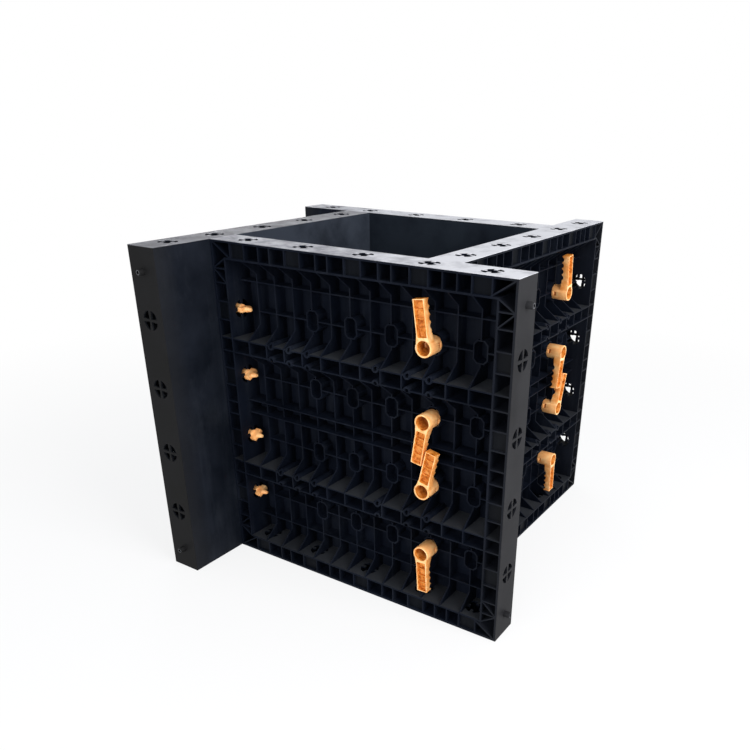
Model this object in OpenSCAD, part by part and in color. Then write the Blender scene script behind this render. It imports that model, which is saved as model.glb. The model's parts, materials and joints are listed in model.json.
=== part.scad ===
// Reusable plastic formwork for a square concrete column.
// Four equal ribbed panels stand in a pinwheel: the end of each one closes on the smooth
// face of the next, and four quarter-turn handles lock every corner.
// Origin on the column's axis at the foot of the panels, +Z up, millimetres.
// A panel is drawn lying down: X along it from its closed end, Y up it, Z out from its
// smooth face. stand_panel() stands it up on the front, and panel() turns it to its side.

/* [Column] */
// Side of the square column that the form casts
column_side = 500; // [300:100:600]

/* [Panel] */
// Length of a panel
panel_w = 725; // [725:50:925]
// Distance between lock rows, also the distance from the edges to the first row
lock_pitch = 150; // [150:10:180]
// Thickness of a panel over its ribs
panel_t = 75; // [70:1:90]
// Thickness of the smooth casting face
sheet_t = 4.5; // [3:0.5:6]
// Thickness of the outer walls
wall_t = 5; // [4:0.5:6]
// Thickness of the inner border walls
border_t = 4; // [3:0.5:5]
// Thickness of the ribs
rib_t = 3; // [2:0.5:4]
// Distance between the ribs of the grid
grid_pitch = 50; // [50:5:60]
// Height of the low grid over the smooth face
grid_h = 35; // [25:1:40]
// Height of the middle pair of ribs over the smooth face
middle_h = 45; // [36:1:55]
// Length of the sloping foot where a grid rib meets a girder
gusset_l = 30; // [15:1:32]
// Distance between the two ribs of a girder
girder_gap = 30; // [26:1:36]
// Distance between the pair of low ribs across the middle
middle_gap = 30; // [20:1:40]

/* [Lock openings] */
// Diameter of an opening
window_d = 42; // [40:0.5:44]
// Width of the four tabs that the lock turns behind
tab_w = 7; // [4:0.5:7]
// Distance from the middle of an opening to its tabs
tab_reach = 11; // [11:0.5:13]
// Distance between the two channel ribs beside an opening
lock_cell = 40; // [34:1:44]
// Depth of the cover over an opening's cell, from the ribs' front edges
cover_depth = 5; // [2:0.5:8]

/* [Alignment pegs] */
// Diameter of a peg on the free end
peg_d = 14; // [12:0.5:16]
// Length of a peg
peg_l = 14; // [10:1:18]
// Height of the lower peg, and of the upper peg under the top
peg_z = 50; // [48:0.5:50]

/* [Handle] */
// Outside diameter of the barrel
barrel_d = 36; // [34:0.5:38]
// Diameter of the open bore in the barrel
barrel_bore_d = 29; // [26:0.5:30]
// Distance from the axis to the tip of the lever
lever_l = 92; // [84:1:93]
// Width of the lever
lever_w = 25; // [22:0.5:27]
// Corner cut at the lever's tip
lever_chamfer = 2; // [1:0.5:5]
// Corner cut along the lever's back edges
lever_back_cut = 2; // [1:0.5:5]
// Depth of the lever
lever_t = 18; // [16:0.5:20]
// Thickness of the lever's walls
lever_wall = 2.5; // [2:0.25:3]
// Number of thin ribs across the lever's channel
rungs = 3; // [2:1:5]
// Length of the cross slots through the barrel's wall
slot_l = 10; // [6:0.5:12]
// Width of the cross slots
slot_w = 5; // [3:0.5:6]
// Diameter of the shaft
shaft_d = 20; // [18:0.5:22]
// Length of the lock bar at the end of the shaft
bar_l = 30; // [28:0.5:36]
// Width of the lock bar
bar_w = 10; // [8:0.5:10]
// Thickness of the lock bar
bar_t = 14; // [10:0.5:16]
// Length of the nose past the lock bar
nose_l = 13; // [8:1:15]
// Play between the handle and the panels
play = 0.4; // [0.3:0.1:0.8]

/* [Lever lean] */
// Lean of the levers on the front, bottom row first, anticlockwise from outside
lean_front = [3, -13, -9, 8];
// Lean of the levers on the right
lean_right = [3, -17, -9, 6];
// Lean of the levers on the back
lean_back = [3, -17, -9, 6];
// Lean of the levers on the left
lean_left = [-25, -35, -29, 2];

/* [Hidden] */
SIDES = ["front", "right", "back", "left"];
ROWS = [1, 2, 3, 4];

panel_colour = "#14171D";
handle_colour = "#E8893A";

panel_h = lock_pitch * (len(ROWS) + 1);
channel_w = 37.5;                    // middle of a border wall to the panel's edge
inner_face = channel_w + border_t / 2; // inside of a border wall from the panel's edge
mid = panel_t / 2;                   // middle of the thickness
lock_u = column_side + mid;          // handle axis from the closed end
grid_u = [for (u = [channel_w + grid_pitch : grid_pitch : panel_w - channel_w - 1]) u];
grid_z = [channel_w + grid_pitch, panel_h - channel_w - grid_pitch];
middle_z = beside([panel_h / 2], middle_gap);
girder_mid = [1.5 * lock_pitch, 3.5 * lock_pitch];
girder_z = beside(girder_mid, girder_gap);
// The three bays between the border walls and the girders, as [low, high]
bays = [
    [inner_face, girder_z[0] - rib_t / 2],
    [girder_z[1] + rib_t / 2, girder_z[2] - rib_t / 2],
    [girder_z[3] + rib_t / 2, panel_h - inner_face]
];
first_boss = channel_w + 4 * grid_pitch;
boss_u = [for (u = [first_boss : 2 * grid_pitch : panel_w - channel_w - grid_pitch]) u];
tie_u = [150, 200, 250, 425, 500, 550]; // rings of one girder rib, from the closed end
tie_ring_d = 17;                     // outside of a tie ring
tie_hole_d = 9;                      // hole of a tie ring
end_window = 70;                     // last opening of the top and foot, from the free end
edge_window_u = concat([for (u = [lock_pitch / 2 : lock_pitch : panel_w - lock_pitch]) u],
                       [panel_w - end_window]);
// Channel ribs: one on each side of an opening, and a pair halfway between two openings
edge_rib_u = concat(
    beside(edge_window_u, lock_cell),
    beside([for (i = [1 : len(edge_window_u) - 1]) (edge_window_u[i - 1] + edge_window_u[i]) / 2],
           girder_gap)
);
end_rib_z = concat(
    beside([for (row = ROWS) row_z(row)], lock_cell),
    beside([for (row = [0 : len(ROWS)]) row_z(row + 0.5)], girder_gap)
);
boss_half = [16, 23];                // half width and half height of a lock boss
boss_cut = 8;                        // corner cut of a lock boss
lever_back = panel_t - lever_t;      // side of the lever that faces the panel
barrel_web = 5.6;                    // solid bottom of the barrel
barrel_floor = grid_h + play + barrel_web; // bottom of the open bore
slot_d = barrel_floor + slot_w / 2 + 0.5; // middle of the cross slots
shaft_play = 1;                      // hole in the smooth face wider than the shaft
bar_top = -inner_face - play;        // side of the lock bar that bears on the tabs
grips = 4;                           // finger grooves under a lever
grip_pitch = 14.5;                   // distance between the finger grooves
grip_r = 6.5;                        // radius of a finger groove
grip_depth = 5;                      // depth of a finger groove
rung_t = 2;                          // thickness of a rib across the lever's channel
rung_drop = 5;                       // how far those ribs stay under the lever's front
eps = 0.01;

function row_z(row) = row * lock_pitch;
function beside(places, gap) = [for (p = places, s = [-0.5, 0.5]) p + s * gap];
// Levers of the odd rows hang down, and those of the even rows stand up
function lever_turn(side, row) =
    (row % 2 == 1 ? 180 : 0) + [lean_front, lean_right, lean_back, lean_left][side][row - 1];

// ---------------------------------------------------------------- rib plans, lying down

// A strip along the panel, centred on height z
module strip_u(z, t, from = 0, to = panel_w) {
    translate([from, z - t / 2]) square([to - from, t]);
}

// A strip up the panel, centred on u
module strip_z(u, t, from = 0, to = panel_h) {
    translate([u - t / 2, from]) square([t, to - from]);
}

// A thin diagonal between two points
module diagonal(a, b) {
    run = b - a;
    translate(a) rotate(atan2(run[1], run[0])) translate([0, -rib_t / 2])
        square([norm(run), rib_t]);
}

// Outer walls, and the frame of border walls inside them
module border_plan() {
    rim_plan(0, wall_t);
    rim_plan(inner_face - border_t, border_t);
}

// A frame of walls of a thickness, a distance in from the panel's edges
module rim_plan(inset, t) {
    w = panel_w - 2 * inset;
    h = panel_h - 2 * inset;
    translate([inset, inset]) difference() {
        square([w, h]);
        translate([t, t]) square([w - 2 * t, h - 2 * t]);
    }
}

// Short ribs across the border channel, and the braced corners
module channel_plan() {
    for (u = edge_rib_u, z = [0, panel_h - channel_w]) strip_z(u, rib_t, z, z + channel_w);
    for (z = end_rib_z, u = [0, panel_w - channel_w]) strip_u(z, rib_t, u, u + channel_w);
    for (mx = [0, 1], my = [0, 1])
        translate([mx * panel_w, my * panel_h]) mirror([mx, 0]) mirror([0, my]) corner_plan();
}

// Covers that close the cells of the lock openings
module cover_plan() {
    for (u = edge_window_u, z = [0, panel_h - channel_w]) strip_z(u, lock_cell, z, z + channel_w);
    for (row = ROWS, u = [0, panel_w - channel_w])
        strip_u(row_z(row), lock_cell, u, u + channel_w);
}

// Braces of one corner: one from the corner itself, and two in zigzag up the end channel
module corner_plan() {
    low_ribs = beside([row_z(0.5)], girder_gap);
    diagonal([wall_t / 2, wall_t / 2], [edge_window_u[0] - lock_cell / 2, channel_w]);
    diagonal([channel_w, channel_w], [wall_t / 2, low_ribs[0]]);
    diagonal([wall_t / 2, low_ribs[0]], [channel_w, low_ribs[1]]);
}

// Two girders: a pair of ribs each, webs between them and rings for ties on them
module girder_plan() {
    difference() {
        union() {
            for (z = girder_z) strip_u(z, rib_t);
            for (z = girder_mid, u = grid_u)
                strip_z(u, rib_t, z - girder_gap / 2, z + girder_gap / 2);
            for (z = girder_z, u = tie_u)
                translate([u, z]) rotate(22.5) circle(d = tie_ring_d, $fn = 8);
        }
        for (z = girder_z, u = tie_u) translate([u, z]) circle(d = tie_hole_d, $fn = 8);
    }
}

module tall_plan() {
    difference() {
        union() {
            border_plan();
            channel_plan();
            girder_plan();
            for (u = grid_u) strip_z(u, rib_t, channel_w, panel_h - channel_w);
        }
        at_bosses() boss_outline(rib_t);
    }
}

// Outline of a lock boss, or of its hollow where shrink is the thickness of its wall
module boss_outline(shrink = 0) {
    w = boss_half[0] - shrink;
    h = boss_half[1] - shrink;
    c = boss_cut - shrink * (2 - sqrt(2));
    polygon([[w, c - h], [w, h - c], [w - c, h], [c - w, h],
             [-w, h - c], [-w, c - h], [c - w, -h], [w - c, -h]]);
}

module at_bosses() {
    for (u = boss_u, row = ROWS) translate([u, row_z(row)]) children();
}

module low_plan() {
    difference() {
        union() {
            tall_plan();
            for (z = concat(grid_z, middle_z)) strip_u(z, rib_t, channel_w, panel_w - channel_w);
            for (row = ROWS) strip_u(row_z(row), rib_t, channel_w + grid_pitch, panel_w - channel_w);
            at_bosses() boss_outline();
        }
        at_bosses() boss_outline(rib_t);
    }
}

// ---------------------------------------------------------------- panel

module panel_flat() {
    difference() {
        union() {
            linear_extrude(sheet_t) square([panel_w, panel_h]);
            translate([0, 0, sheet_t]) linear_extrude(grid_h - sheet_t) low_plan();
            difference() {
                translate([0, 0, grid_h]) linear_extrude(panel_t - grid_h) tall_plan();
                for (bay = bays) bay_space(bay);
            }
            translate([0, 0, panel_t - cover_depth - rib_t]) linear_extrude(rib_t) cover_plan();
            for (z = middle_z)
                translate([0, 0, grid_h]) linear_extrude(middle_h - grid_h)
                    strip_u(z, rib_t, channel_w, panel_w - channel_w);
            for (z = [peg_z, panel_h - peg_z]) translate([panel_w, z, mid]) peg();
        }
        for (row = ROWS) {
            translate([0, row_z(row), mid]) rotate([90, 0, 90]) lock_window();
            translate([panel_w, row_z(row), mid]) rotate([90, 0, -90]) lock_window();
            translate([lock_u, row_z(row), -1]) linear_extrude(sheet_t + 2) {
                circle(d = shaft_d + shaft_play, $fn = 48);
                rotate(45) bar_outline(bar_l + shaft_play, bar_w + shaft_play);
            }
        }
        for (u = edge_window_u) {
            translate([u, 0, mid]) rotate([-90, 0, 0]) lock_window();
            translate([u, panel_h, mid]) rotate([90, 0, 0]) lock_window();
        }
        for (z = [peg_z, panel_h - peg_z]) translate([-1, z, mid]) rotate([0, 90, 0])
            cylinder(d = peg_d + 1, h = peg_l + 2, $fn = 48);
    }
}

// What is open over the low grid in one bay, with the slope of the gussets at both ends
module bay_space(bay) {
    translate([inner_face, 0, 0]) rotate([90, 0, 90]) linear_extrude(panel_w - 2 * inner_face)
        polygon([[bay[0] + gusset_l, grid_h - eps], [bay[1] - gusset_l, grid_h - eps],
                 [bay[1], panel_t], [bay[1], panel_t + 1], [bay[0], panel_t + 1], [bay[0], panel_t]]);
}

// Opening for a lock bar, through an outer wall and the border wall behind it, drawn from
// the panel's edge inwards. The bar goes in between the tabs at 45 degrees and, once turned,
// stands behind two of them.
module lock_window() {
    for (cut = [[-1, wall_t], [inner_face - border_t, inner_face]])
        translate([0, 0, cut[0]]) linear_extrude(cut[1] - cut[0]) difference() {
            circle(d = window_d, $fn = 48);
            for (turn = [0 : 90 : 270]) rotate(turn)
                translate([tab_reach, -tab_w / 2]) square([window_d, tab_w]);
        }
}

// Peg with a bevelled tip
module peg() {
    tip = 2;
    rotate([0, 90, 0]) {
        translate([0, 0, -1]) cylinder(d = peg_d, h = peg_l - tip + 1, $fn = 48);
        translate([0, 0, peg_l - tip])
            cylinder(d1 = peg_d, d2 = peg_d - 2 * tip, h = tip, $fn = 48);
    }
}

// ---------------------------------------------------------------- handle, on its axis

// Outline of the lever: round at the barrel and drawn in to a straight bar
module lever_outline() {
    r = barrel_d / 2;
    circle(r = r, $fn = 64);
    w = lever_w / 2;
    c = lever_chamfer;
    polygon([[-0.85 * r, 0.5 * r], [0.85 * r, 0.5 * r], [w, 1.5 * r], [w, lever_l - c],
             [w - c, lever_l], [c - w, lever_l], [-w, lever_l - c], [-w, 1.5 * r]]);
}

module lever() {
    pocket_from = barrel_d / 2 + lever_wall;
    pocket_l = lever_l - lever_wall - pocket_from;
    pocket_w = lever_w - 2 * lever_wall;
    rung_pitch = pocket_l / (rungs + 1);
    edge = lever_back_cut * sqrt(2);
    difference() {
        translate([0, 0, lever_back]) linear_extrude(lever_t) lever_outline();
        translate([-pocket_w / 2, pocket_from, lever_back + grip_depth + lever_wall])
            cube([pocket_w, pocket_l, lever_t]);
        for (i = [0 : grips - 1])
            translate([-lever_w, lever_l - (i + 0.6) * grip_pitch, lever_back + grip_depth - grip_r])
                rotate([0, 90, 0]) cylinder(r = grip_r, h = 2 * lever_w, $fn = 48);
        for (sx = [-0.5, 0.5]) translate([sx * lever_w, lever_l, lever_back])
            rotate([0, 45, 0]) cube([edge, 2 * (lever_l - 1.5 * barrel_d / 2), edge], center = true);
        translate([0, lever_l, lever_back]) rotate([45, 0, 0])
            cube([2 * lever_w, edge, edge], center = true);
    }
    for (i = [1 : rungs])
        translate([-pocket_w / 2 - eps, pocket_from + i * rung_pitch - rung_t / 2,
                   lever_back + grip_depth + 1])
            cube([pocket_w + 2 * eps, rung_t, lever_t - grip_depth - 1 - rung_drop]);
}

// A straight bar with ends that follow one circle: the lock bar, and the cross slots
module bar_outline(length, width) {
    intersection() {
        square([length, width], center = true);
        circle(d = length, $fn = 64);
    }
}

// The barrel's seam lies under the lever, a quarter turn from the cross slots
module handle_upright() {
    difference() {
        union() {
            lever();
            translate([0, 0, grid_h + play]) rotate(90)
                cylinder(d = barrel_d, h = panel_t - grid_h - play, $fn = 64);
        }
        translate([0, 0, barrel_floor]) rotate(90)
            cylinder(d = barrel_bore_d, h = panel_t, $fn = 64);
        translate([-barrel_d, 0, slot_d]) rotate([0, 90, 0])
            linear_extrude(2 * barrel_d) rotate(90) bar_outline(slot_l, slot_w);
    }
    translate([0, 0, bar_top - bar_t])
        cylinder(d = shaft_d, h = barrel_floor - bar_top + bar_t - 1, $fn = 48);
    translate([0, 0, bar_top - bar_t]) linear_extrude(bar_t) bar_outline(bar_l, bar_w);
    translate([0, 0, bar_top - bar_t - nose_l])
        cylinder(d1 = 0.35 * shaft_d, d2 = 0.7 * shaft_d, h = nose_l + eps, $fn = 48);
}

// ---------------------------------------------------------------- placing

module stand_panel() {
    translate([-column_side / 2, -column_side / 2, 0]) rotate([90, 0, 0]) children();
}

module panel(side) {
    color(panel_colour) rotate([0, 0, side * 90]) stand_panel() panel_flat();
}

module handle(side, row) {
    color(handle_colour) rotate([0, 0, side * 90]) stand_panel()
        translate([lock_u, row_z(row), 0]) rotate([0, 0, lever_turn(side, row)]) handle_upright();
}

for (side = [0 : 3]) {
    panel(side);
    for (row = ROWS)
        handle(side, row);
}
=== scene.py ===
"""Reusable plastic formwork, closed round a square concrete column.

Four equal ribbed panels stand in a pinwheel and sixteen quarter-turn handles lock their corners.
The fixed frame gives every place; this script gives the panels their moulded skins with softened
rims, painted lighter partly for rubbing and partly as painted highlight, models the lock handles,
and dresses all of it in moulded plastics, some of whose colours hold painted light and shade.
"""

import json
import logging
import math
from abc import ABC, abstractmethod
from collections.abc import Iterable, Iterator
from contextlib import contextmanager
from dataclasses import dataclass
from enum import Enum, IntEnum

import bpy
from mathutils import Matrix, Vector


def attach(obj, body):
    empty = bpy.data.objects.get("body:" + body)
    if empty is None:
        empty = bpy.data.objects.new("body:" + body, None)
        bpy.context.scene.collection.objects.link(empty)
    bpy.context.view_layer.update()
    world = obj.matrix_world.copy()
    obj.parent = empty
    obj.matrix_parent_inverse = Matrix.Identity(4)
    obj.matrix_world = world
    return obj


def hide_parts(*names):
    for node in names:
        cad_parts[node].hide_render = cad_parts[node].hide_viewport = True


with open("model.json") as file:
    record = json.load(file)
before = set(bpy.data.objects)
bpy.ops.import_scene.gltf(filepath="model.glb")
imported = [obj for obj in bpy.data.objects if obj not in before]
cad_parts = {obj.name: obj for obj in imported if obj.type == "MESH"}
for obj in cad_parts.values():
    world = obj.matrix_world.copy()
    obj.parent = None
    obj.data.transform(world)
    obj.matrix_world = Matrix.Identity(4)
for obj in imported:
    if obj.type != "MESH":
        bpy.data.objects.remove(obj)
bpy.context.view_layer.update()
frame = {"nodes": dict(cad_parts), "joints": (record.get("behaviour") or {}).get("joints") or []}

Tree = bpy.types.NodeTree
Socket = bpy.types.NodeSocket
Spot = tuple[float, float, float]
Colour = tuple[float, float, float, float]
# A layer of paint: its share at a spot, and its colour.
Layer = tuple[Socket, Colour | Socket]

LOG = logging.getLogger("formwork")
MM = 0.001
# The sizes that drive the places, in mm: the column's side, and a panel's length, depth and height.
COLUMN, PANEL_L, PANEL_D, PANEL_H = 500.0, 725.0, 75.0, 750.0
# How far the panels' smooth faces and their free ends stand out from the column's middle.
FACE, FREE_END = COLUMN / 2, PANEL_L - COLUMN / 2


class Side(Enum):
    """The four panels, named for where they stand, with their quarter turns round the column."""

    FRONT = 0
    RIGHT = 1
    BACK = 2
    LEFT = 3

    @property
    def label(self) -> str:
        """The side's word in the names of nodes, bodies and joints."""
        return self.name.lower()

    @property
    def turn(self) -> Matrix:
        """Rotation that takes the front panel to this side."""
        return Matrix.Rotation(self.value * math.pi / 2, 4, "Z")


class Axis(Enum):
    """The direction in which a bar, hole or shaft runs, with the turn that lays it there."""

    ALONG_X = (0.0, math.pi / 2, 0.0)
    ALONG_Z = (0.0, 0.0, 0.0)


class Fit(Enum):
    """What a tool piece does to the piece that it shapes, with the modifier's word for it."""

    ADD = "UNION"
    CUT = "DIFFERENCE"
    TRIM = "INTERSECT"


class Pick(Enum):
    """The parts of a mesh that are picked in edit mode, with the operator's word for them."""

    EDGES = "EDGE"
    FACES = "FACE"


class PanelPart(IntEnum):
    """The material numbers of a panel's faces."""

    SKIN = 0
    RIM = 1
    PEG_TIP = 2
    LEDGE = 3
    COVER = 4


class HandlePart(IntEnum):
    """The material numbers of a handle's faces."""

    BODY = 0
    RIM = 1
    STAINED = 2
    HANDLED = 3


# ------------------------------------------------------------------------------ colour and nodes


def linear(code: str) -> Colour:
    """Turns an sRGB colour into the linear one that shaders take.

    Args:
        code: The colour as "#RRGGBB".

    Returns:
        Linear red, green, blue and an alpha of 1.
    """
    parts = [int(code[i : i + 2], 16) / 255 for i in (1, 3, 5)]
    curve = [c / 12.92 if c <= 0.04045 else ((c + 0.055) / 1.055) ** 2.4 for c in parts]
    return (*curve, 1.0)


def add_node(
    tree: Tree, kind: str, inputs: dict | None = None, **settings: str | bool
) -> bpy.types.Node:
    """Adds one shader node with its settings, values and links.

    Args:
        tree: The node tree that it joins.
        kind: The node's type name.
        inputs: Socket name or number, to a value or to the output socket that feeds it.
        **settings: Properties set on the node before its sockets.

    Returns:
        The new node.
    """
    made = tree.nodes.new(kind)
    for name, value in settings.items():
        setattr(made, name, value)
    for name, value in (inputs or {}).items():
        if isinstance(value, Socket):
            tree.links.new(value, made.inputs[name])
        else:
            made.inputs[name].default_value = value
    return made


def per_metre(size_mm: float) -> float:
    """How many pattern cells of this size go in a metre, which is a noise texture's scale."""
    return 1000.0 / size_mm


def lay_over(tree: Tree, colour: Colour | Socket, layers: Iterable[Layer]) -> Socket:
    """Lays paints over a colour, one on another.

    Args:
        tree: The material's nodes.
        colour: The colour underneath.
        layers: The paints with their shares, from the lowest to the topmost.

    Returns:
        The colour with all of its layers.
    """
    for share, paint in layers:
        colour = add_node(
            tree,
            "ShaderNodeMix",
            {"Factor": share, "A": colour, "B": paint},
            data_type="RGBA",
        ).outputs["Result"]
    return colour


def reach_of(tree: Tree, place: Socket) -> Socket:
    """Measures how far out from the column's middle a spot lies, in squares round it.

    Args:
        tree: The material's nodes.
        place: Object coordinates.

    Returns:
        The larger of the spot's distances along X and Y.
    """
    parts = add_node(tree, "ShaderNodeSeparateXYZ", {0: place})
    across = {
        k: add_node(tree, "ShaderNodeMath", {0: parts.outputs[k]}, operation="ABSOLUTE").outputs[0]
        for k in (0, 1)
    }
    return add_node(tree, "ShaderNodeMath", across, operation="MAXIMUM").outputs[0]


# ------------------------------------------------------------------------------ finishes


class MouldedPlastic(ABC):
    """What the moulded plastics share: colour and gloss in clouds, over the grain of the mould.

    Lengths in mm are those of a pattern's cells. The real grain, near 0.1 mm, is too fine to show,
    so it is drawn ten times as coarse and more.
    """

    name: str
    ior: float
    gloss: float
    roughness: tuple[float, float]
    cloud_mm: float
    cloud_detail: float
    cloud_edge: float
    grain_mm: float
    grain_depth: float
    grain_strength: float

    def build(self) -> bpy.types.Material:
        """Makes the material.

        Returns:
            The finished node material.
        """
        made = bpy.data.materials.new(self.name)
        made.use_nodes = True
        tree = made.node_tree
        place = add_node(tree, "ShaderNodeTexCoord").outputs["Object"]
        cloud = add_node(
            tree,
            "ShaderNodeTexNoise",
            {
                "Vector": place,
                "Scale": per_metre(self.cloud_mm),
                "Detail": self.cloud_detail,
                "Roughness": self.cloud_edge,
            },
        ).outputs["Fac"]
        satin, matt = self.roughness
        rough = add_node(
            tree,
            "ShaderNodeMapRange",
            {"Value": cloud, "From Min": 0.3, "From Max": 0.7, "To Min": satin, "To Max": matt},
        )
        grain = add_node(
            tree, "ShaderNodeTexNoise", {"Vector": place, "Scale": per_metre(self.grain_mm)}
        )
        bump = add_node(
            tree,
            "ShaderNodeBump",
            {
                "Strength": self.grain_strength,
                "Distance": self.grain_depth,
                "Height": grain.outputs["Fac"],
            },
        )
        shader = tree.nodes["Principled BSDF"]
        shader.inputs["IOR"].default_value = self.ior
        shader.inputs["Specular IOR Level"].default_value = self.gloss
        tree.links.new(self._colour(tree, place, cloud), shader.inputs["Base Color"])
        tree.links.new(rough.outputs[0], shader.inputs["Roughness"])
        tree.links.new(bump.outputs[0], shader.inputs["Normal"])
        return made

    @abstractmethod
    def _colour(self, tree: Tree, place: Socket, cloud: Socket) -> Socket:
        """Paints the plastic with its marks of use.

        Args:
            tree: The material's nodes.
            place: Object coordinates.
            cloud: The cloud pattern.

        Returns:
            The colour.
        """


@dataclass(frozen=True)
class MouldedPolymer(MouldedPlastic):
    """Injection-moulded polypropylene compound, blue-black, used on site and dusty with cement.

    It is matt with hardly any gloss. Its broad faces carry cloudy dust and rain streaks, its free
    ends are rubbed to a neutral grey, and its top edges are grey-white, partly with dry cement and
    partly with painted sheen. The zones of wear and sheen begin at heights and reaches in metres,
    whose names end in "at".
    """

    name: str
    body: str
    body_light: str
    end: str = "#1E1E20"
    end_light: str = "#2A2A2C"
    near_end: str = "#1E1F22"
    near_end_share: float = 0.65
    inner: str = "#20262E"
    # The top edges' grey-white: partly cement dust, partly painted sheen.
    dust: str = "#C8C8CC"
    thin_dust_and_sheen: str = "#7A7A80"
    streak: str = "#2E323A"
    streak_strength: float = 0.35
    scuff: str = "#3C4046"
    scuff_strength: float = 0.15
    top_at: float = (PANEL_H - 0.8) * MM
    thinning_at: tuple[float, float] = (-0.24, 0.1)
    thinning_lean: float = 1.3
    thinning_share: tuple[float, float] = (-0.45, 0.25)
    end_at: float = (FREE_END - 0.7) * MM
    near_end_at: tuple[float, float] = ((FREE_END - 55.0) * MM, (FREE_END - 10.0) * MM)
    inner_at: float = (FACE + 0.5) * MM
    streak_mm: float = 26.0
    streak_rise: float = 0.07
    scuff_mm: float = 75.0
    scuff_rise: float = 0.5
    dust_mm: float = 45.0
    ior: float = 1.49
    gloss: float = 0.06
    roughness: tuple[float, float] = (0.5, 0.68)
    cloud_mm: float = 130.0
    cloud_detail: float = 5.0
    cloud_edge: float = 0.62
    grain_mm: float = 1.6
    grain_depth: float = 0.0003
    grain_strength: float = 0.18

    def _colour(self, tree: Tree, place: Socket, cloud: Socket) -> Socket:
        """Lays the marks of weather and use over the clouded body.

        Args:
            tree: The material's nodes.
            place: Object coordinates.
            cloud: The cloud pattern.

        Returns:
            The colour.
        """
        light = add_node(
            tree, "ShaderNodeMapRange", {"Value": cloud, "From Min": 0.35, "From Max": 0.68}
        )
        layers = [
            (light.outputs[0], linear(self.body_light)),
            *self._marks(tree, place),
            *self._ends(tree, place, cloud),
            self._top_dust_and_sheen(tree, place),
        ]
        return lay_over(tree, linear(self.body), layers)

    def _marks(self, tree: Tree, place: Socket) -> list[Layer]:
        """Draws rain-washed dust streaks down the faces, and cloudy scuffs over them.

        Args:
            tree: The material's nodes.
            place: Object coordinates.

        Returns:
            The layers of the streaks and of the scuffs.
        """
        layers = []
        for rise, size, paint, strength in (
            (self.streak_rise, self.streak_mm, self.streak, self.streak_strength),
            (self.scuff_rise, self.scuff_mm, self.scuff, self.scuff_strength),
        ):
            stretched = add_node(
                tree, "ShaderNodeMapping", {"Vector": place, "Scale": (1.0, 1.0, rise)}
            )
            marks = add_node(
                tree,
                "ShaderNodeTexNoise",
                {
                    "Vector": stretched.outputs[0],
                    "Scale": per_metre(size),
                    "Detail": 6.0,
                    "Roughness": 0.7,
                },
            )
            share = add_node(
                tree,
                "ShaderNodeMapRange",
                {
                    "Value": marks.outputs["Fac"],
                    "From Min": 0.52,
                    "From Max": 0.8,
                    "To Max": strength,
                },
            )
            layers.append((share.outputs[0], linear(paint)))
        return layers

    def _ends(self, tree: Tree, place: Socket, cloud: Socket) -> list[Layer]:
        """Films the casting faces with cement, and rubs the free ends to grey.

        The casting faces lie nearest to the column, and the free ends furthest out from it.

        Args:
            tree: The material's nodes.
            place: Object coordinates.
            cloud: The cloud pattern.

        Returns:
            The layers of the casting faces, of all that lies near the free ends, and of these.
        """
        reach = reach_of(tree, place)
        inside = add_node(
            tree, "ShaderNodeMath", {0: reach, 1: self.inner_at}, operation="LESS_THAN"
        )
        thick = add_node(
            tree, "ShaderNodeMapRange", {"Value": cloud, "From Min": 0.2, "From Max": 0.55}
        )
        film = add_node(
            tree,
            "ShaderNodeMath",
            {0: inside.outputs[0], 1: thick.outputs[0]},
            operation="MULTIPLY",
        )
        start, full = self.near_end_at
        near = add_node(
            tree,
            "ShaderNodeMapRange",
            {"Value": reach, "From Min": start, "From Max": full, "To Max": self.near_end_share},
        )
        on_end = add_node(
            tree, "ShaderNodeMath", {0: reach, 1: self.end_at}, operation="GREATER_THAN"
        )
        rubbed = add_node(
            tree, "ShaderNodeMapRange", {"Value": cloud, "From Min": 0.38, "From Max": 0.62}
        )
        grey = lay_over(tree, linear(self.end), [(rubbed.outputs[0], linear(self.end_light))])
        return [
            (film.outputs[0], linear(self.inner)),
            (near.outputs[0], linear(self.near_end)),
            (on_end.outputs[0], grey),
        ]

    def _top_dust_and_sheen(self, tree: Tree, place: Socket) -> Layer:
        """Paints the top edges grey-white, partly dry cement dust and partly painted sheen, thinner
        towards the front panel's closed end.

        Args:
            tree: The material's nodes.
            place: Object coordinates.

        Returns:
            The layer of the tops' dust and painted sheen.
        """
        parts = add_node(tree, "ShaderNodeSeparateXYZ", {0: place}).outputs
        on_top = add_node(
            tree, "ShaderNodeMath", {0: parts["Z"], 1: self.top_at}, operation="GREATER_THAN"
        )
        patches = add_node(
            tree,
            "ShaderNodeTexNoise",
            {
                "Vector": place,
                "Scale": per_metre(self.dust_mm),
                "Detail": 6.0,
                "Roughness": 0.66,
            },
        )
        settled = add_node(
            tree,
            "ShaderNodeMapRange",
            {"Value": patches.outputs["Fac"], "From Min": 0.22, "From Max": 0.6},
        )
        # It is thinnest at the front panel's closed end, and lies thicker away from there.
        away = add_node(
            tree,
            "ShaderNodeMath",
            {0: parts["X"], 1: self.thinning_lean, 2: parts["Y"]},
            operation="MULTIPLY_ADD",
        )
        start, stop = self.thinning_at
        less, more = self.thinning_share
        kept = add_node(
            tree,
            "ShaderNodeMapRange",
            {
                "Value": away.outputs[0],
                "From Min": start,
                "From Max": stop,
                "To Min": less,
                "To Max": more,
            },
        )
        amount = add_node(
            tree,
            "ShaderNodeMath",
            {0: settled.outputs[0], 1: kept.outputs[0]},
            operation="ADD",
            use_clamp=True,
        )
        # The tops' grey-white: partly dust, partly painted sheen.
        dust = lay_over(tree, linear(self.thin_dust_and_sheen), [(amount.outputs[0], linear(self.dust))])
        return on_top.outputs[0], dust


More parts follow.
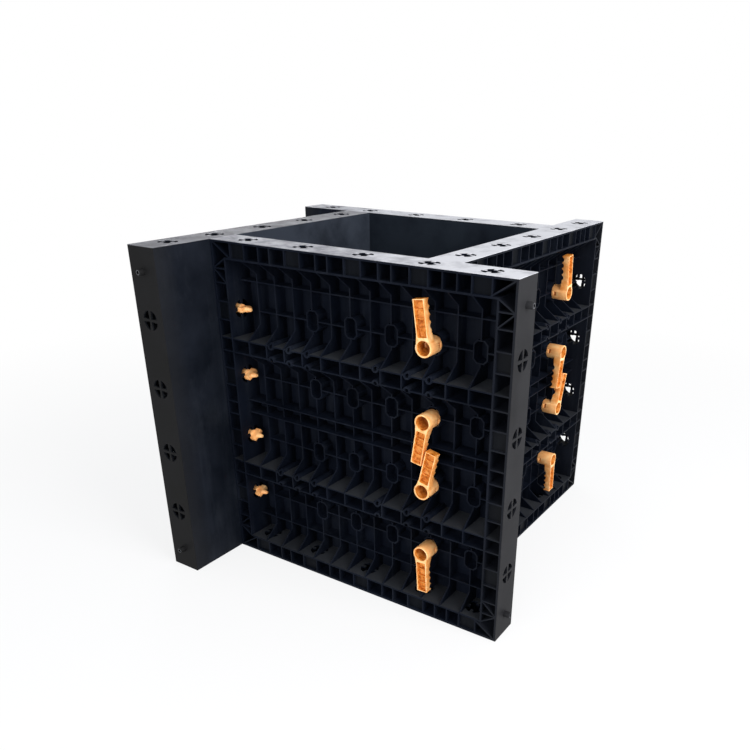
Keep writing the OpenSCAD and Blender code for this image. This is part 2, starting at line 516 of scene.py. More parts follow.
@dataclass(frozen=True)
class MouldedNylon(MouldedPlastic):
    """Injection-moulded orange polyamide: satin and slightly uneven in colour. Its copies are
    painted paler on the rims, partly for rubbing and partly as painted highlight, and on the barrel
    as painted light.

    Painted shade darkens it deeper in the hollows, thickening from one reach in metres to a nearer
    one.
    """

    name: str = "moulded orange nylon"
    deep: str = "#E4863A"
    body: str = "#F0A258"
    pale: str = "#FCC98C"
    # Painted shade in the hollows: its colour, its share, and the reaches over which it thickens.
    deep_shade: str = "#5E3214"
    deep_shade_share: float = 0.0
    deep_shade_at: tuple[float, float] = ((FACE + 48.0) * MM, (FACE + 63.5) * MM)
    ior: float = 1.53
    gloss: float = 0.45
    roughness: tuple[float, float] = (0.34, 0.5)
    cloud_mm: float = 16.0
    cloud_detail: float = 4.0
    cloud_edge: float = 0.6
    grain_mm: float = 1.1
    grain_depth: float = 0.0002
    grain_strength: float = 0.1

    def _colour(self, tree: Tree, place: Socket, cloud: Socket) -> Socket:
        """Clouds the orange, and darkens it with painted shade towards the bottom of the hollows.

        Args:
            tree: The material's nodes.
            place: Object coordinates.
            cloud: The cloud pattern.

        Returns:
            The colour.
        """
        clouded = add_node(tree, "ShaderNodeValToRGB", {0: cloud})
        ramp = clouded.color_ramp
        ramp.elements[0].position, ramp.elements[1].position = 0.3, 0.72
        ramp.elements[0].color = linear(self.deep)
        ramp.elements[1].color = linear(self.pale)
        ramp.elements.new(0.5).color = linear(self.body)
        # Painted shade: darker towards the bottom of the bore, the channel and the grooves.
        near, far = self.deep_shade_at
        shade_share = add_node(
            tree,
            "ShaderNodeMapRange",
            {
                "Value": reach_of(tree, place),
                "From Min": near,
                "From Max": far,
                "To Min": self.deep_shade_share,
                "To Max": 0.0,
            },
        )
        return lay_over(tree, clouded.outputs[0], [(shade_share.outputs[0], linear(self.deep_shade))])


# ------------------------------------------------------------------------------ the bench

# The shares of a normal along an axis from which a face looks that way, and stands square to it.
TOWARDS, SQUARE = 0.9, 0.99
# How far apart, in mm, places still count as one, and as next to each other.
HAIR, NEAR = 0.1, 0.5


class Bench:
    """The modelling moves that several pieces share, with lengths in mm and angles in degrees."""

    weld: float = 0.01

    @staticmethod
    def clear() -> None:
        """Deselects everything."""
        bpy.ops.object.select_all(action="DESELECT")

    @classmethod
    def take(cls, piece: bpy.types.Object) -> bpy.types.Object:
        """Makes one piece the only selected and active object, and returns it."""
        cls.clear()
        piece.select_set(True)
        bpy.context.view_layer.objects.active = piece
        return piece

    @staticmethod
    @contextmanager
    def editing() -> Iterator[None]:
        """Holds the active piece in edit mode."""
        bpy.ops.object.mode_set(mode="EDIT")
        yield
        bpy.ops.object.mode_set(mode="OBJECT")

    @classmethod
    def pick_none(cls, piece: bpy.types.Object, kind: Pick) -> None:
        """Deselects a piece's whole mesh, so that parts of one kind can be selected by place.

        Args:
            piece: The piece to work on.
            kind: The parts that are to be selected.
        """
        cls.take(piece)
        with cls.editing():
            bpy.ops.mesh.select_mode(type=kind.value)
            bpy.ops.mesh.select_all(action="DESELECT")

    @classmethod
    def clean(cls, piece: bpy.types.Object, flat_angle: float) -> None:
        """Welds a piece's points, and makes one face of those that lie flat side by side.

        Args:
            piece: The piece to clean.
            flat_angle: Faces at a smaller angle than this lie flat.
        """
        cls.take(piece)
        with cls.editing():
            bpy.ops.mesh.select_all(action="SELECT")
            bpy.ops.mesh.remove_doubles(threshold=cls.weld * MM)
            bpy.ops.mesh.dissolve_limited(angle_limit=math.radians(flat_angle))

    @classmethod
    def rod(
        cls,
        name: str,
        radius: float,
        length: float,
        centre: Spot,
        axis: Axis = Axis.ALONG_Z,
        tip_radius: float | None = None,
        corners: int = 64,
    ) -> bpy.types.Object:
        """Adds a straight or tapering round bar.

        Args:
            name: The piece's name.
            radius: Radius at its low end.
            length: Its length.
            centre: Its middle.
            axis: The direction that it runs in.
            tip_radius: Radius at its high end, where it differs.
            corners: Sides of the round.

        Returns:
            The new piece, with its place in its mesh.
        """
        cls.clear()
        bpy.ops.mesh.primitive_cone_add(
            vertices=corners,
            radius1=radius * MM,
            radius2=(radius if tip_radius is None else tip_radius) * MM,
            depth=length * MM,
            location=Vector(centre) * MM,
            rotation=axis.value,
        )
        return cls.settle(name)

    @classmethod
    def block(cls, name: str, size: Spot, centre: Spot) -> bpy.types.Object:
        """Adds a block of a size round its middle.

        Args:
            name: The piece's name.
            size: Its lengths along X, Y and Z.
            centre: Its middle.

        Returns:
            The new piece, with its place in its mesh.
        """
        cls.clear()
        bpy.ops.mesh.primitive_cube_add(
            size=1.0, location=Vector(centre) * MM, scale=Vector(size) * MM
        )
        return cls.settle(name)

    @staticmethod
    def settle(name: str) -> bpy.types.Object:
        """Names the active piece and puts its place, turn and scale in its mesh."""
        piece = bpy.context.object
        piece.name = name
        bpy.ops.object.transform_apply(location=True, rotation=True, scale=True)
        return piece

    @classmethod
    def combine(
        cls, target: bpy.types.Object, tool: bpy.types.Object, fit: Fit
    ) -> bpy.types.Object:
        """Shapes a piece with a tool piece, and removes the tool.

        Args:
            target: The piece that is shaped.
            tool: The piece that shapes it.
            fit: What the tool does to it.

        Returns:
            The target.
        """
        cls.take(target)
        step = target.modifiers.new("shape", "BOOLEAN")
        step.operation, step.object, step.solver = fit.value, tool, "EXACT"
        bpy.ops.object.modifier_apply(modifier=step.name)
        bpy.data.objects.remove(tool)
        return target

    @classmethod
    def soften(
        cls, piece: bpy.types.Object, width: float, segments: int, angle: float, rim: int = -1
    ) -> bpy.types.Object:
        """Rounds the sharp edges.

        Args:
            piece: The piece to soften.
            width: Width of the rounding.
            segments: Its steps.
            angle: Edges sharper than this are rounded.
            rim: Material number of the rounded faces, or -1 for that of their neighbours.

        Returns:
            The piece.
        """
        cls.take(piece)
        step = piece.modifiers.new("soft edges", "BEVEL")
        step.width, step.segments = width * MM, segments
        step.limit_method, step.angle_limit = "ANGLE", math.radians(angle)
        step.use_clamp_overlap = False
        step.material = rim
        bpy.ops.object.modifier_apply(modifier=step.name)
        return piece

    @classmethod
    def smooth(cls, piece: bpy.types.Object, angle: float) -> bpy.types.Object:
        """Shades the piece smooth across edges under this angle, and returns it."""
        cls.take(piece)
        bpy.ops.object.shade_smooth_by_angle(angle=math.radians(angle))
        return piece

    @staticmethod
    def copy(piece: bpy.types.Object, name: str, place: Matrix) -> bpy.types.Object:
        """Copies a finished piece with its own mesh and moves the copy's mesh to its place.

        Args:
            piece: The piece to copy.
            name: The copy's name.
            place: Where the copy goes.

        Returns:
            The copy, whose object stays at the origin.
        """
        made = piece.copy()
        made.data = piece.data.copy()
        made.name = made.data.name = name
        made.data.transform(place)
        bpy.context.scene.collection.objects.link(made)
        return made


# ------------------------------------------------------------------------------ panels


@dataclass
class FormPanel:
    """A ribbed form panel: the moulded skin over the frame's panel, with rims painted lighter,
    partly for rubbing and partly as painted highlight.

    Its sizes are in mm and degrees, and its places are those of the front panel.
    """

    flat_angle: float = 1.0
    rim_width: float = 0.3
    rim_angle: float = 40.0
    peg_ring: float = 1.5
    peg_hollow: float = 10.0
    ledges: tuple[float, ...] = (40.0, 242.0, 542.0)
    ledge_reach: float = 2.0
    cover_y: float = -(FACE + 70.0)
    cover_reach: float = 0.3
    cross_size: Spot = (22.0, 5.0, 4.8)
    cross_at: tuple[float, float] = (FREE_END - 2.5, -(FACE + PANEL_D / 2))
    lock_rows: int = 4
    row_pitch: float = PANEL_H / 5
    skin: MouldedPolymer = MouldedPolymer("moulded polypropylene", "#070B14", "#0F141F")
    # The left panel's skin, whose smooth face shows. Its free end looks to the front, away from the
    # brighter light on the right, and its darker end colours are painted shade.
    brushed_skin: MouldedPolymer = MouldedPolymer(
        "brushed polypropylene",
        "#0A0E15",
        "#171B23",
        end="#141414",
        end_light="#1A1A1B",
        inner="#31363F",
        dust="#919195",
        thin_dust_and_sheen="#66666A",
        streak_strength=0.25,
        scuff_strength=0.2,
    )
    # Lighter rims: partly rubbed wear, partly painted highlight along the ribs.
    rim: MouldedPolymer = MouldedPolymer(
        "polypropylene rims, rubbed and painted highlight", "#1C2028", "#2B2F38", streak_strength=0.2
    )
    # A light grey for the rings round the pegs' hollows: painted highlight.
    peg_tip: MouldedPolymer = MouldedPolymer(
        "peg tips with painted highlight", "#55565A", "#707175", end="#55565A", end_light="#707175"
    )
    # A lighter copy for the ledges: partly settled dust, partly painted light where their upward
    # faces catch the light from above.
    ledge: MouldedPolymer = MouldedPolymer(
        "polypropylene ledges, dusty and painted light", "#26282C", "#323438", streak_strength=0.2
    )
    # A darker copy for the sunk covers of the lock cells: painted shade.
    cover: MouldedPolymer = MouldedPolymer(
        "polypropylene in painted shade", "#03050A", "#070A10", near_end="#101113", streak_strength=0.15
    )

    def build(self) -> list[bpy.types.Object]:
        """Makes the four panels from one skin.

        Returns:
            The panels' pieces.
        """
        pattern = self._skin()
        brushed = self.brushed_skin.build()
        skin = self.skin.build()
        panels = []
        for side in Side:
            panel = Bench.copy(pattern, f"form_panel_{side.label}", side.turn)
            panel.data.materials[PanelPart.SKIN] = brushed if side is Side.LEFT else skin
            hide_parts(f"panel_{side.label}")
            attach(panel, "form")
            panels.append(panel)
        bpy.data.objects.remove(pattern)
        return panels

    def _skin(self) -> bpy.types.Object:
        """Welds a copy of the front panel into clean faces, paints light and shade into some of its
        faces and rounds its rims.

        Returns:
            The front panel's skin, with the rims' material in the place of its own.
        """
        pattern = Bench.copy(frame["nodes"]["panel_front"], "panel_pattern", Matrix())
        pattern.parent = None
        rim = self.rim.build()
        # Finishes with painted highlight on the peg tips, dust and painted light on the ledges, and
        # painted shade on the covers.
        light_and_shade_finishes = [finish.build() for finish in (self.peg_tip, self.ledge, self.cover)]
        pattern.data.materials.clear()
        for material in (rim, rim, *light_and_shade_finishes):
            pattern.data.materials.append(material)
        Bench.clean(pattern, self.flat_angle)
        self._hollow_pegs(pattern)
        self._paint_ledges_and_covers(pattern)
        # The rounded rims take the lighter rim finish: partly rubbed wear, partly painted
        # highlight.
        Bench.soften(
            pattern, self.rim_width, segments=1, angle=self.rim_angle, rim=PanelPart.RIM
        )
        self._crosses(pattern)
        return Bench.smooth(pattern, self.rim_angle / 2)

    def _hollow_pegs(self, pattern: bpy.types.Object) -> None:
        """Sinks the moulded hollow into the tip of each peg and paints the ring round it light, as
        a painted highlight.

        Args:
            pattern: The front panel's welded skin.
        """
        Bench.pick_none(pattern, Pick.FACES)
        tip = max(vertex.co.x for vertex in pattern.data.vertices)
        for face in pattern.data.polygons:
            if face.normal.x > SQUARE and face.center.x > tip - HAIR * MM:
                face.select = True
                face.material_index = PanelPart.PEG_TIP
        with Bench.editing():
            bpy.ops.mesh.inset(thickness=self.peg_ring * MM, use_individual=True)
            bpy.ops.mesh.extrude_region_move(
                TRANSFORM_OT_translate={"value": (-self.peg_hollow * MM, 0, 0)}
            )
        for face in pattern.data.polygons:
            sunk = face.center.x < tip - NEAR * MM
            if face.material_index == PanelPart.PEG_TIP and sunk:
                face.material_index = PanelPart.SKIN

    def _paint_ledges_and_covers(self, pattern: bpy.types.Object) -> None:
        """Paints the ledges lighter, partly with settled dust and partly as painted light from
        above, and paints the sunk covers of the lock cells darker, as painted shade.

        The ledges lie over the girders and the foot, where rain doesn't wash them.

        Args:
            pattern: The front panel's welded skin.
        """
        for face in pattern.data.polygons:
            spot = face.center / MM
            on_ledge = any(abs(spot.z - ledge) < self.ledge_reach for ledge in self.ledges)
            # The ledges' upward faces get dust and painted light.
            if face.normal.z > TOWARDS and on_ledge:
                face.material_index = PanelPart.LEDGE
            # The sunk covers of the lock cells get painted shade.
            elif face.normal.y < -TOWARDS and abs(spot.y - self.cover_y) < self.cover_reach:
                face.material_index = PanelPart.COVER

    def _crosses(self, pattern: bpy.types.Object) -> None:
        """Joins the tabs of each lock opening of the free end in a moulded cross.

        The openings of the closed end stay clear for the lock bars.

        Args:
            pattern: The front panel's softened skin.
        """
        long, wide, thick = self.cross_size
        cross = Bench.block("cross", (long, wide, thick), (0, 0, 0))
        Bench.combine(cross, Bench.block("cross_arm", (wide, long, thick), (0, 0, 0)), Fit.ADD)
        cross.data.materials.append(pattern.data.materials[PanelPart.SKIN])
        upright = Matrix.Rotation(math.pi / 2, 4, "Y")
        copies = []
        for row in range(1, self.lock_rows + 1):
            place = Matrix.Translation(Vector((*self.cross_at, row * self.row_pitch)) * MM)
            copies.append(Bench.copy(cross, "cross_copy", place @ upright))
        bpy.data.objects.remove(cross)
        Bench.take(pattern)
        for piece in copies:
            piece.select_set(True)
        bpy.ops.object.join()


# ------------------------------------------------------------------------------ lock handles


@dataclass
class LockHandle:
    """A quarter-turn handle: barrel, channelled lever with finger grooves, shaft and lock bar.

    It is modelled upright on its own axis: X across the lever, Y up it and Z out from the panel's
    smooth face, in mm. A joint of the frame gives each copy its place and its body.
    """

    joint_z: float = 50.0
    barrel_r: float = 18.0
    barrel_from: float = 35.4
    bore_r: float = 14.5
    bore_from: float = 41.0
    bore_cut: float = 60.0
    slot: tuple[float, float] = (10.0, 5.0)
    slot_gap: float = 0.5
    front: float = 75.0
    lever_back: float = 57.0
    lever_w: float = 25.0
    lever_tip: float = 92.0
    wall: float = 2.5
    back_round: float = 2.0
    grips: int = 4
    grip_r: float = 6.5
    grip_pitch: float = 14.5
    pitches_to_grip: float = 0.6
    grip_depth: float = 5.0
    channel_cut: float = 20.0
    channel_round: float = 1.2
    channel_angle: float = 60.0
    rungs: int = 3
    rung_w: float = 2.0
    rung_sunk: float = 5.0
    rung_laps: tuple[float, float] = (0.4, 1.0)
    shaft_r: float = 10.0
    shaft_lap: float = 1.0
    bar_top: float = -39.9
    bar_size: Spot = (30.0, 10.0, 14.0)
    nose_l: float = 13.0
    nose_r: tuple[float, float] = (3.5, 7.0)
    nose_lap: float = 0.2
    edge_round: float = 0.6
    flat_angle: float = 0.5
    edge_angle: float = 32.0
    smooth_angle: float = 34.0
    body: MouldedNylon = MouldedNylon()
    # A paler copy for the rounded edges and the front faces: partly rubbed wear, partly painted
    # highlight.
    rim: MouldedNylon = MouldedNylon("nylon rims, rubbed and painted highlight", "#F5A95C", "#FAC684", "#FFDFB0")
    # A darker copy of the nylon: painted shade in the bore, the channel and the finger grooves.
    stained: MouldedNylon = MouldedNylon(
        "orange nylon with painted shade",
        "#98480A",
        "#D98430",
        "#F2AE5E",
        gloss=0.15,
        deep_shade_share=0.55,
        cloud_mm=8.0,
    )
    # A paler copy of the nylon: painted light on the barrel's outside and on all under the panel's
    # face.
    handled: MouldedNylon = MouldedNylon("orange nylon with painted light", "#F4A562", "#FFB873", "#FFCE90")

    @property
    def neck(self) -> float:
        """Height at which the flare from the barrel ends and the straight lever begins."""
        return 1.5 * self.barrel_r

    @property
    def channel_floor(self) -> float:
        """Depth of the channel's floor, one wall in front of the finger grooves."""
        return self.lever_back + self.grip_depth + self.wall

    def build(self) -> list[bpy.types.Object]:
        """Makes one handle and copies it to every lock.

        Returns:
            The handles' pieces.
        """
        pattern = self._shape()
        for finish in (self.body, self.rim, self.stained, self.handled):
            pattern.data.materials.append(finish.build())
        handles = []
        for joint in frame["joints"]:
            node = joint["child"].replace("lock_", "handle_")
            handle = Bench.copy(pattern, f"lever_{node}", self._place(joint, node))
            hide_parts(node)
            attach(handle, joint["child"])
            handles.append(handle)
        bpy.data.objects.remove(pattern)
        return handles

    def _place(self, joint: dict, node: str) -> Matrix:
        """Finds where a handle stands from its joint and from the tip of the frame's lever.

        Args:
            joint: The frame's joint for this handle.
            node: The frame's node for this handle.

        Returns:
            The handle's place, with the joint's axis as Z and the lever as Y.
        """
        out = Vector(joint["axis"]).normalized()
        # The joint stands out from the smooth face, where the handle's own zero lies.
        zero = Vector(joint["pos_m"]) - out * (self.joint_z * MM)
        tip = (self.lever_tip - NEAR) * MM
        far = Vector((0.0, 0.0, 0.0))
        for vertex in frame["nodes"][node].data.vertices:
            arm = vertex.co - zero
            arm -= out * arm.dot(out)
            if arm.length > tip:
                far += arm
        along = far.normalized()
        across = along.cross(out)
        turn = Matrix((across, along, out)).transposed().to_4x4()
        return Matrix.Translation(zero) @ turn

    def _shape(self) -> bpy.types.Object:
        """Models the handle.

        Returns:
            The handle, upright at the origin.
        """
        handle = self._lever()
        depth = self.front - self.barrel_from
        barrel = Bench.rod("barrel", self.barrel_r, depth, (0, 0, self.barrel_from + depth / 2))
        Bench.combine(handle, barrel, Fit.ADD)
        bore_mid = self.bore_from + self.bore_cut / 2
        bore = Bench.rod("bore", self.bore_r, self.bore_cut, (0, 0, bore_mid))
        Bench.combine(handle, bore, Fit.CUT)
        self._slots(handle)
        shaft_l = self.bore_from - self.bar_top
        shaft_mid = self.bar_top + shaft_l / 2 - self.shaft_lap
        shaft = Bench.rod("shaft", self.shaft_r, shaft_l, (0, 0, shaft_mid))
        Bench.combine(handle, shaft, Fit.ADD)
        Bench.combine(handle, self._lock_bar(), Fit.ADD)
        Bench.combine(handle, self._nose(), Fit.ADD)
        Bench.clean(handle, self.flat_angle)
        # The rounded edges take the paler rim finish: partly rubbed wear, partly painted highlight.
        Bench.soften(
            handle, self.edge_round, segments=2, angle=self.edge_angle, rim=HandlePart.RIM
        )
        self._wear(handle)
        return Bench.smooth(handle, self.smooth_angle)

    def _lever(self) -> bpy.types.Object:
        """Models the lever: flared at the barrel, channelled in front, grooved behind.

        Returns:
            The lever.
        """
        thick = self.front - self.lever_back
        root = 0.5 * self.barrel_r
        flare_w = 1.7 * self.barrel_r
        lever = Bench.block(
            "lock_handle",
            (flare_w, self.neck - root, thick),
            (0, (root + self.neck) / 2, self.lever_back + thick / 2),
        )
        Bench.pick_none(lever, Pick.FACES)
        for face in lever.data.polygons:
            face.select = face.normal.y > TOWARDS
        with Bench.editing():
            bpy.ops.transform.resize(value=(self.lever_w / flare_w, 1, 1))
            bpy.ops.mesh.extrude_region_move(
                TRANSFORM_OT_translate={"value": (0, (self.lever_tip - self.neck) * MM, 0)}
            )
        self._round_edges(lever)
        self._finger_grooves(lever)
        self._channel(lever)
        return lever

    def _round_edges(self, lever: bpy.types.Object) -> None:
        """Rounds the lever's two back edges and the back of its tip, where a hand holds it.

        Args:
            lever: The lever's blank.
        """
        Bench.pick_none(lever, Pick.EDGES)
        points = lever.data.vertices
        for edge in lever.data.edges:
            a, b = (points[k].co / MM for k in edge.vertices)
            behind = max(a.z, b.z) < self.lever_back + HAIR
            to_tip = max(a.y, b.y) > self.lever_tip - HAIR
            edge.select = behind and to_tip and min(a.y, b.y) > self.neck - HAIR
        with Bench.editing():
            bpy.ops.mesh.bevel(offset=self.back_round * MM, segments=4, affect="EDGES")

    def _finger_grooves(self, lever: bpy.types.Object) -> None:
        """Cuts the finger grooves across the back of the lever.

        Args:
            lever: The lever.
        """
        depth = self.lever_back + self.grip_depth - self.grip_r
        for k in range(self.grips):
            middle = (0, self.lever_tip - (k + self.pitches_to_grip) * self.grip_pitch, depth)
            groove = Bench.rod(
                "groove", self.grip_r, 3 * self.lever_w, middle, Axis.ALONG_X, corners=48
            )
            Bench.combine(lever, groove, Fit.CUT)

    def _channel(self, lever: bpy.types.Object) -> None:
        """Hollows the front of the lever and sets the thin ribs across the channel.

        Args:
            lever: The lever.
        """
        start = self.barrel_r + self.wall
        length = self.lever_tip - self.wall - start
        width = self.lever_w - 2 * self.wall
        floor = self.channel_floor
        hollow = Bench.block(
            "hollow",
            (width, length, self.channel_cut),
            (0, start + length / 2, floor + self.channel_cut / 2),
        )
        Bench.soften(hollow, self.channel_round, segments=2, angle=self.channel_angle)
        Bench.combine(lever, hollow, Fit.CUT)
        top = self.front - self.rung_sunk
        into_walls, into_floor = self.rung_laps
        for k in range(1, self.rungs + 1):
            rung = Bench.block(
                "rung",
                (width + into_walls, self.rung_w, top - floor + into_floor),
                (0, start + k * length / (self.rungs + 1), (top + floor - into_floor) / 2),
            )
            Bench.combine(lever, rung, Fit.ADD)

    def _slots(self, handle: bpy.types.Object) -> None:
        """Cuts the two cross slots through the barrel's wall.

        Args:
            handle: The handle so far.
        """
        long, wide = self.slot
        middle = (0, 0, self.bore_from + wide / 2 + self.slot_gap)
        tool = Bench.rod("slot", long / 2, 4 * self.barrel_r, middle, Axis.ALONG_X, corners=48)
        keep = Bench.block("slot_width", (6 * self.barrel_r, 2 * long, wide), middle)
        Bench.combine(tool, keep, Fit.TRIM)
        Bench.combine(handle, tool, Fit.CUT)

    def _lock_bar(self) -> bpy.types.Object:
        """Models the lock bar: a straight bar whose ends follow the circle that it turns in.

        Returns:
            The lock bar.
        """
        long, wide, thick = self.bar_size
        middle = (0, 0, self.bar_top - thick / 2)
        # The bar and its tool stand out of each other by this much, so that no faces coincide.
        excess = 2.0
        bar = Bench.block("lock_bar", (long + excess, wide, thick), middle)
        sweep = Bench.rod("sweep", long / 2, thick + excess, middle)
        return Bench.combine(bar, sweep, Fit.TRIM)

    def _nose(self) -> bpy.types.Object:
        """Models the tapered nose under the lock bar, which finds the opening.

        Returns:
            The nose.
        """
        middle = self.bar_top - self.bar_size[2] - self.nose_l / 2
        tip_r, root_r = self.nose_r
        return Bench.rod(
            "nose",
            tip_r,
            self.nose_l + self.nose_lap,
            (0, 0, middle + self.nose_lap / 2),
            tip_radius=root_r,
        )

    def _wear(self, handle: bpy.types.Object) -> None:
        """Paints the front paler, partly for rubbing and partly as painted highlight, paints the
        barrel paler as painted light, and paints shade into the bore, the channel and the grooves.

        Args:
            handle: The softened shape.
        """
        for face in handle.data.polygons:
            spot = face.center / MM
            clean = face.material_index == HandlePart.BODY
            # The front faces take the paler rim finish: partly rubbed wear, partly painted
            # highlight.
            if face.normal.z > SQUARE and spot.z > self.front - HAIR:
                face.material_index = HandlePart.RIM
            # The barrel's outside and all under the panel's face are painted paler, as painted
            # light.
            elif clean and (self._on_barrel(spot, face.normal) or spot.z < 0.0):
                face.material_index = HandlePart.HANDLED
            # Faces in the bore, the channel and the grooves get painted shade.
            elif clean and (self._in_hollow(spot) or self._in_groove(spot, face.normal)):
                face.material_index = HandlePart.STAINED

    def _on_barrel(self, spot: Vector, normal: Vector) -> bool:
        """Tells whether a face lies on the outside of the barrel.

        Args:
            spot: The face's middle.
            normal: Its normal.

        Returns:
            Whether it does.
        """
        on_round = self.barrel_r - NEAR < spot.xy.length < self.barrel_r + HAIR
        return on_round and spot.z > self.barrel_from and spot.xy.dot(normal.xy) > 0.0

    def _in_hollow(self, spot: Vector) -> bool:
        """Tells whether a face lies in the bore or in the channel.

        Args:
            spot: The face's middle.

        Returns:
            Whether it does.
        """
        in_bore = spot.xy.length < self.bore_r and spot.z > self.bore_from - NEAR
        between_walls = abs(spot.x) < self.lever_w / 2 - self.wall + HAIR
        over_floor = spot.y > self.barrel_r and spot.z > self.channel_floor - NEAR
        return in_bore or (between_walls and over_floor)

    def _in_groove(self, spot: Vector, normal: Vector) -> bool:
        """Tells whether a face lies in a finger groove.

        Args:
            spot: The face's middle.
            normal: Its normal.

        Returns:
            Whether it does.
        """
        along_lever = self.neck < spot.y < self.lever_tip - self.back_round
        sunk = self.lever_back + self.edge_round < spot.z < self.channel_floor
        from_side_to_side = abs(spot.x) < 2 * NEAR
        looks_back = normal.z < -0.2
        return along_lever and sunk and from_side_to_side and looks_back


# ------------------------------------------------------------------------------ studio


@dataclass(frozen=True)
class Softbox:
    """A square lamp, with its place, the point that it faces, its side in metres and its watts."""

    name: str
    at: Spot
    facing: Spot
    size: float
    watts: float

    def hang(self) -> None:
        """Hangs the lamp."""
        lamp = bpy.data.lights.new(self.name, "AREA")
        lamp.shape, lamp.size, lamp.energy = "SQUARE", self.size, self.watts
        holder = bpy.data.objects.new(self.name, lamp)
        aim = (Vector(self.facing) - Vector(self.at)).to_track_quat("-Z", "Y").to_matrix().to_4x4()
        holder.matrix_world = Matrix.Translation(self.at) @ aim
        bpy.context.scene.collection.objects.link(holder)


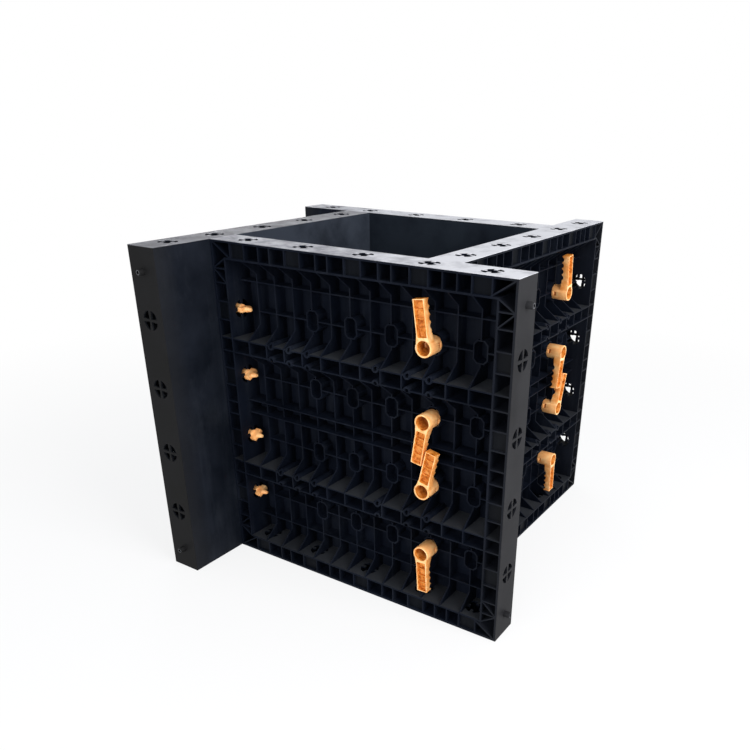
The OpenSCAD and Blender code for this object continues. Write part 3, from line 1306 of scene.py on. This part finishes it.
@dataclass
class Studio:
    """A pale floor, soft lamps and the camera, in metres and degrees."""

    camera_at: Spot = (1.02262, -1.49499, 1.00097)
    yaw: float = 31.935
    tilt: float = 26.270
    roll: float = 0.826
    lens: float = 36.41
    sensor_w: float = 36.0
    shift: tuple[float, float] = (-0.0651, 0.145)
    clip: tuple[float, float] = (0.05, 60.0)
    floor_colour: str = "#EDEDEE"
    floor_size: float = 40.0
    glow: tuple[float, float] = (0.8, 1.0)
    glow_at: tuple[float, float] = (0.9, 2.4)
    # Dark strips under the panels: painted shade on the floor.
    shade_colour: str = "#2A2B2E"
    shade_size_mm: Spot = (PANEL_L - 4.0, PANEL_D - 4.0, 0.4)
    shade_at_mm: Spot = (PANEL_L / 2 - FACE, -(FACE + PANEL_D / 2), 0.2)
    sky_colour: str = "#E6ECF5"
    sky_strength: float = 0.5
    lamps: tuple[Softbox, ...] = (
        Softbox("overhead softbox", (0.3, 0.2, 3.2), (0.0, 0.0, 0.4), 3.2, 25.0),
        Softbox("right softbox", (3.2, -0.6, 2.0), (0.1, 0.0, 0.4), 2.2, 135.0),
        Softbox("front fill", (0.4, -3.6, 1.3), (0.0, 0.0, 0.4), 2.4, 66.0),
        Softbox("rear fill", (-3.3, 3.0, 0.7), (0.0, 0.0, 0.4), 1.3, 50.0),
    )

    def build(self) -> None:
        """Sets up the whole studio."""
        self._camera()
        self._floor()
        self._shades()
        self._sky()
        for lamp in self.lamps:
            lamp.hang()

    def _camera(self) -> None:
        """Places the camera and makes it the scene's."""
        lens = bpy.data.cameras.new("camera")
        lens.lens, lens.sensor_width = self.lens, self.sensor_w
        lens.shift_x, lens.shift_y = self.shift
        lens.clip_start, lens.clip_end = self.clip
        camera = bpy.data.objects.new("camera", lens)
        turn = (
            Matrix.Rotation(math.radians(self.yaw), 4, "Z")
            @ Matrix.Rotation(math.radians(90.0 - self.tilt), 4, "X")
            @ Matrix.Rotation(math.radians(self.roll), 4, "Z")
        )
        camera.matrix_world = Matrix.Translation(self.camera_at) @ turn
        bpy.context.scene.collection.objects.link(camera)
        bpy.context.scene.camera = camera

    def _floor(self) -> None:
        """Lays the floor, which shows near white and keeps the object's soft shadow."""
        Bench.clear()
        bpy.ops.mesh.primitive_grid_add(
            x_subdivisions=4, y_subdivisions=4, size=self.floor_size, location=(0, 0, 0)
        )
        floor = bpy.context.object
        floor.name = "studio_floor"
        paint = bpy.data.materials.new("matt pale floor paint")
        paint.use_nodes = True
        tree = paint.node_tree
        tree.nodes.clear()
        matt = add_node(tree, "ShaderNodeBsdfDiffuse", {"Color": linear(self.floor_colour)})
        white = add_node(tree, "ShaderNodeEmission", {"Color": (1, 1, 1, 1), "Strength": 1.0})
        place = add_node(tree, "ShaderNodeTexCoord").outputs["Object"]
        away = add_node(tree, "ShaderNodeVectorMath", {0: place}, operation="LENGTH")
        near, far = self.glow_at
        dim, full = self.glow
        bright = add_node(
            tree,
            "ShaderNodeMapRange",
            {
                "Value": away.outputs["Value"],
                "From Min": near,
                "From Max": far,
                "To Min": dim,
                "To Max": full,
            },
        )
        share = add_node(
            tree,
            "ShaderNodeMath",
            {0: self._shown(tree), 1: bright.outputs[0]},
            operation="MULTIPLY",
        )
        mix = add_node(
            tree,
            "ShaderNodeMixShader",
            {0: share.outputs[0], 1: matt.outputs[0], 2: white.outputs[0]},
        )
        add_node(tree, "ShaderNodeOutputMaterial", {"Surface": mix.outputs[0]})
        floor.data.materials.append(paint)

    def _shades(self) -> None:
        """Lays dark strips on the floor under the four panels, as painted shade where their feet
        stand.
        """
        ground = bpy.data.materials.new("ground in the panels' shade")
        ground.use_nodes = True
        shader = ground.node_tree.nodes["Principled BSDF"]
        shader.inputs["Base Color"].default_value = linear(self.shade_colour)
        shader.inputs["Roughness"].default_value = 0.9
        for side in Side:
            strip = Bench.block(f"ground_{side.label}", self.shade_size_mm, self.shade_at_mm)
            strip.data.transform(side.turn)
            strip.data.materials.append(ground)

    def _sky(self) -> None:
        """Gives a dim even light from all round, and a white background."""
        world = bpy.data.worlds.new("studio surround")
        bpy.context.scene.world = world
        world.use_nodes = True
        tree = world.node_tree
        tree.nodes.clear()
        dim = add_node(
            tree,
            "ShaderNodeBackground",
            {"Color": linear(self.sky_colour), "Strength": self.sky_strength},
        )
        white = add_node(tree, "ShaderNodeBackground", {"Color": (1, 1, 1, 1), "Strength": 1.0})
        mix = add_node(
            tree,
            "ShaderNodeMixShader",
            {0: self._shown(tree), 1: dim.outputs[0], 2: white.outputs[0]},
        )
        add_node(tree, "ShaderNodeOutputWorld", {"Surface": mix.outputs[0]})

    @staticmethod
    def _shown(tree: Tree) -> Socket:
        """Tells the rays that see the background, straight or in gloss or glass, from the rest.

        Args:
            tree: The nodes of the floor or the sky.

        Returns:
            A socket that is 1 for those rays and 0 for light that reaches the object.
        """
        rays = add_node(tree, "ShaderNodeLightPath").outputs
        shown = rays["Is Camera Ray"]
        for kind in ("Is Glossy Ray", "Is Transmission Ray"):
            either = {0: shown, 1: rays[kind]}
            shown = add_node(tree, "ShaderNodeMath", either, operation="MAXIMUM").outputs[0]
        return shown


def main() -> None:
    """Builds the form, piece by piece, and the studio round it."""
    logging.basicConfig(level=logging.INFO, format="%(name)s: %(message)s")
    bpy.context.scene.view_settings.view_transform = "Standard"
    for piece in (*FormPanel().build(), *LockHandle().build()):
        LOG.info("%s: %d faces", piece.name, len(piece.data.polygons))
    Studio().build()
    LOG.info("form and studio are built")


if __name__ == "__main__":
    main()
